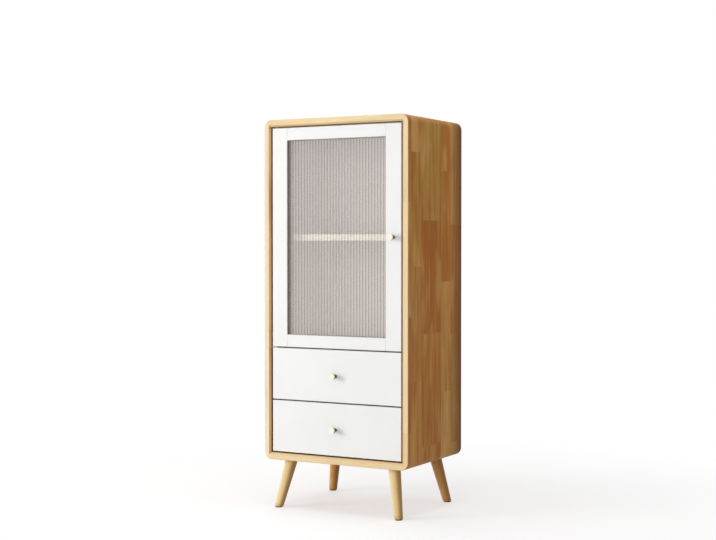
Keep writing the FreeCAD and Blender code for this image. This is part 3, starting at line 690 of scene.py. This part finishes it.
left_low, left_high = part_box("left_side_panel")
CASE_MIDDLE = (left_low.y + left_high.y) / 2
CASE_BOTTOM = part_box("bottom_panel")[0].z
PAD_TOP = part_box("foot_pads")[1].z
LEG_TOP = (0.180, 0.137)
LEG_FOOT = (0.210, 0.167)
TOP_RADIUS, FOOT_RADIUS = 0.019, 0.013
FOOT_ROUNDING = 0.0012
OVERRUN = 0.2  # share of its length by which a leg is turned too long at each end
LEG_RINGS = 15
LEG_ROLLS = {"front_left": 20, "front_right": 115, "back_left": 205, "back_right": 290}
shares = [-OVERRUN + (1 + 2 * OVERRUN) * k / (LEG_RINGS - 1) for k in range(LEG_RINGS)]
for place, roll in LEG_ROLLS.items():
    along_x = 1 if place.endswith("right") else -1
    along_y = 1 if place.startswith("back") else -1
    top = Vector((along_x * LEG_TOP[0], CASE_MIDDLE + along_y * LEG_TOP[1], CASE_BOTTOM))
    foot = Vector((along_x * LEG_FOOT[0], CASE_MIDDLE + along_y * LEG_FOOT[1], 0))
    length = (top - foot).length
    lean = (top - foot).to_track_quat("Z", "Y").to_matrix().to_4x4()
    seat = Matrix.Translation(foot) @ lean @ Matrix.Rotation(math.radians(roll), 4, "Z")
    mesh = bmesh.new()
    taper = TOP_RADIUS - FOOT_RADIUS
    lathe(mesh, [(FOOT_RADIUS + taper * share, length * share) for share in shares], 72)
    bmesh.ops.transform(mesh, matrix=seat, verts=mesh.verts)
    for level, side in ((PAD_TOP, -1), (CASE_BOTTOM, 1)):
        everything = mesh.verts[:] + mesh.edges[:] + mesh.faces[:]
        plane = {"plane_co": Vector((0, 0, level)), "plane_no": (0, 0, side)}
        bmesh.ops.bisect_plane(mesh, geom=everything, clear_outer=True, **plane)
        rim = [e for e in mesh.edges if e.is_boundary and abs(e.verts[0].co.z - level) < 1e-6]
        bmesh.ops.contextual_create(mesh, geom=rim)
        if side < 0:
            shape = {"offset": FOOT_ROUNDING, "segments": 3, "profile": 0.5}
            bmesh.ops.bevel(mesh, geom=rim, affect="EDGES", **shape)
    bmesh.ops.dissolve_degenerate(mesh, dist=0.00001, edges=mesh.edges)
    # Back legs take the darker copy of the tones, painted shade
    tones = SHADED_BACK_STICK if along_y > 0 else FRONT_STICK
    stick = turned_timber(f"{place}_leg_timber", seat, tones)
    leg = new_piece(f"{place}_leg", "cabinet", stick, mesh)
    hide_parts("legs")

# Screws: each kind has a radius and a rise over its seat

CASE_BOARD = 0.022
PIVOT_SCREW = (0.0032, 0.00015)
PIVOT_INSETS = (0.007, 0.021)
BRACKET_HEIGHT = 0.046
CATCH_SCREW = (0.0028, 0.0010)
CATCH_INSET = 0.004
STRIKE_SCREW = (0.0026, 0.0001)
STRIKE_INSET = 0.0045
KNOB_SCREW = (0.0042, 0.0022)
KNOB_FRONTS = {
    "door_knob": "door_right_stile",
    "upper_drawer_knob": "upper_drawer_front",
    "lower_drawer_knob": "lower_drawer_front",
}
bright_zinc = zinc_plate("bright_zinc", "x")

low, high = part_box("upper_pivot_plate")
y = ((low + high) / 2).y
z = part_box("top_panel")[1].z - CASE_BOARD
points = [(high.x - inset, y, z) for inset in PIVOT_INSETS]
screws("upper_pivot_screws", "cabinet", *PIVOT_SCREW, (0, 0, -1), points)

low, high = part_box("lower_pivot_bracket")
x = left_low.x + CASE_BOARD
y = ((low + high) / 2).y
points = [(x, y, low.z + BRACKET_HEIGHT - inset) for inset in PIVOT_INSETS]
screws("lower_pivot_screws", "cabinet", *PIVOT_SCREW, (1, 0, 0), points)

low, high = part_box("catch_housing")
y = ((low + high) / 2).y
points = [(x, y, low.z) for x in (low.x + CATCH_INSET, high.x - CATCH_INSET)]
screws("catch_screws", "cabinet", *CATCH_SCREW, (0, 0, -1), points)

low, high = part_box("strike_plate")
z = ((low + high) / 2).z
points = [(x, high.y, z) for x in (low.x + STRIKE_INSET, high.x - STRIKE_INSET)]
screws("strike_screws", "door", *STRIKE_SCREW, (0, 1, 0), points)

for node, front in KNOB_FRONTS.items():
    low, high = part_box(node)
    centre = (low + high) / 2
    point = (centre.x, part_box(front)[1].y, centre.z)
    screws(f"{node}_screw", KNOBS[node], *KNOB_SCREW, (0, 1, 0), [point])

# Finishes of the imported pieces. A stave is a width and a length.

SIDE_STAVE = (0.092, 0.34)
SHELF_STAVE = (0.09, 0.5)
BOX_STAVE = (0.2, 0.9)
BOX_BOTTOM_STAVE = (0.4, 0.9)
# lit_facing sets how far a face must look to the front to take the painted light of the edge tones; on
# the top and bottom boards it reaches their bevels
CASE_BOARDS = {
    "left_side": (LEFT_HONEY, "z", 17.0, ("x", 1), {"lit_facing": 0.56}),
    "right_side": (SHADED_RIGHT_HONEY, "z", 2.0, ("x", -1), {"painted_shade": 0.95}),
    "top": (LEVEL_HONEY, "x", 3.0, ("z", -1), {"lit_facing": 0.3}),
    "bottom": (LEVEL_HONEY, "x", 4.0, ("z", 1), {"lit_facing": 0.2}),
}
for board, (tones, along, seed, inner, manner) in CASE_BOARDS.items():
    material = timber(f"{board}_timber", tones, along, "y", SIDE_STAVE, seed, inner, **manner)
    finish_node(f"{board}_panel", material)
finish_node("corner_splines", timber("spline_timber", HONEY, "y", "x", SIDE_STAVE, 5.0))
finish_node("shelf", timber("shelf_timber", CREAM, "x", "y", SHELF_STAVE, 6.0))
finish_node("compartment_floor", timber("floor_timber", LIPPED, "x", "y", SHELF_STAVE, 7.0))
BOX_BOARDS = {"left_side": ("y", "x"), "right_side": ("y", "x"), "back": ("x", "y")}
for level in ("upper", "lower"):
    for seed, (board, (along, through)) in enumerate(BOX_BOARDS.items(), 8):
        name = f"{level}_drawer_{board}"
        plies = (through, getattr(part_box(name)[0], through))
        finish_node(name, timber(f"{name}_birch", BIRCH, along, "z", BOX_STAVE, seed, plies=plies))
    name = f"{level}_drawer_bottom"
    finish_node(name, timber(f"{name}_birch", BIRCH, "x", "y", BOX_BOTTOM_STAVE, 11.0))
    finish_node(f"{level}_drawer_front", lacquer(f"{level}_drawer_front"))
DOOR_FRAME = ("door_left_stile", "door_right_stile", "door_top_rail", "door_bottom_rail")
for name in (*DOOR_FRAME, "glazing_beads"):
    finish_node(name, lacquer(name))
finish_node("back_panel", faced_board("faced_back_board"))
finish_node("glass_gasket", rubber("gasket_rubber", tone(146, 142, 138), tone(162, 157, 152)))
finish_node("foot_pads", rubber("pad_rubber", tone(74, 68, 60), tone(98, 90, 80)))
rolled = zinc_plate("rolled_steel", "y")
for name in nodes:
    if name.endswith("_rail") and name not in DOOR_FRAME:
        finish_node(name, rolled)
FITTINGS = ("upper_pivot_plate", "lower_pivot_bracket", "strike_plate")
pressed = zinc_plate("pressed_steel", "z")
for name in ("shelf_pins", *FITTINGS):
    finish_node(name, pressed)
finish_node("pivot_bushes", moulded("bush_nylon", tone(236, 233, 224), tone(228, 225, 214), 0.45))
finish_node("catch_housing", moulded("catch_plastic", tone(240, 238, 232), tone(234, 231, 224), 0.4))
finish_node("catch_magnet", moulded("ferrite", tone(70, 70, 72), tone(86, 86, 88), 0.6))

soften("shelf", 0.0006)
for level in ("upper", "lower"):
    for board in BOX_BOARDS:
        soften(f"{level}_drawer_{board}", 0.0010)
soften("catch_housing", 0.0008)
for name in FITTINGS:
    soften(name, 0.0003)

# Studio

WHITE = (1, 1, 1, 1)
camera = bpy.data.objects.new("camera", bpy.data.cameras.new("camera"))
camera.data.sensor_width = 36
camera.data.lens = 69.398
camera.location = (2.09318, -3.77366, 0.81971)
camera.rotation_euler = (math.radians(90 - 1.1073), 0, math.radians(29.2048))
scene.collection.objects.link(camera)
scene.camera = camera

AIM = Vector((0, 0, 0.7))
LAMPS = {  # azimuth and elevation in degrees, distance, size, power in watts
    "key_lamp": (-44, 8, 4.6, 2.0, 103),
    "front_lamp": (8, 3, 4.8, 2.4, 59),
    "back_lamp": (205, 28, 4.6, 2.4, 32),
    "top_lamp": (0, 82, 3.6, 2.2, 36),
}


def soft_lamp(name, azimuth, elevation, distance, size, power):
    """A square lamp that looks at the cabinet and leaves no image in glass. Azimuth 0 is in front."""
    lamp = bpy.data.objects.new(name, bpy.data.lights.new(name, "AREA"))
    lamp.data.size = size
    lamp.data.energy = power
    lamp.visible_glossy = False
    lamp.visible_transmission = False
    turn, rise = math.radians(azimuth), math.radians(elevation)
    level = math.cos(rise)
    away = Vector((math.sin(turn) * level, -math.cos(turn) * level, math.sin(rise)))
    lamp.location = AIM + away * distance
    lamp.rotation_euler = away.to_track_quat("Z", "Y").to_euler()
    scene.collection.objects.link(lamp)


for name, setting in LAMPS.items():
    soft_lamp(name, *setting)


def shows_background(finish):
    """1 on rays that show the background: straight from the camera, mirrored or through glass."""
    kinds = ("Camera", "Glossy", "Transmission")
    direct, mirrored, through = (finish.node("LightPath", {}, {}, f"Is {kind} Ray") for kind in kinds)
    return finish.sum("MAXIMUM", finish.sum("MAXIMUM", direct, mirrored), through)


AMBIENT = 0.33
world = bpy.data.worlds.new("studio")
world.use_nodes = True
scene.world = world
w = Finish(world.node_tree)
strength = shows_background(w) * (1 - AMBIENT) + AMBIENT
w.close(w.node("Background", {}, {"Color": WHITE, "Strength": strength}), "OutputWorld")

# The floor takes the shadow near the cabinet and fades into the white background

FLOOR_RADIUS = 14
FLOOR_LEVEL = -0.0003
FLOOR_GREY = (0.6, 0.6, 0.6, 1)
FLOOR_LIFT = 0.54
FADE = (0.5, 1.7)
floor_mesh = bmesh.new()
bmesh.ops.create_circle(floor_mesh, cap_ends=True, segments=96, radius=FLOOR_RADIUS)
floor_data = bpy.data.meshes.new("floor")
floor_mesh.to_mesh(floor_data)
floor_mesh.free()
floor = bpy.data.objects.new("floor", floor_data)
floor.location.z = FLOOR_LEVEL
scene.collection.objects.link(floor)
material, f = new_finish("pale_floor")
seen = shows_background(f)
x, y, z = f.split(f.place())
far = f.ease((x * x + y * y) ** 0.5, *FADE)
matt = f.node("BsdfDiffuse", {}, {"Color": FLOOR_GREY})
lift = f.node("Emission", {}, {"Color": WHITE, "Strength": seen * FLOOR_LIFT})
near_floor = f.node("AddShader", {}, {0: matt, 1: lift})
far_floor = f.node("Emission", {}, {"Color": WHITE, "Strength": 1.0})
f.close(f.node("MixShader", {}, {0: far * seen, 1: near_floor, 2: far_floor}))
floor_data.materials.append(material)

scene.view_settings.view_transform = "Standard"
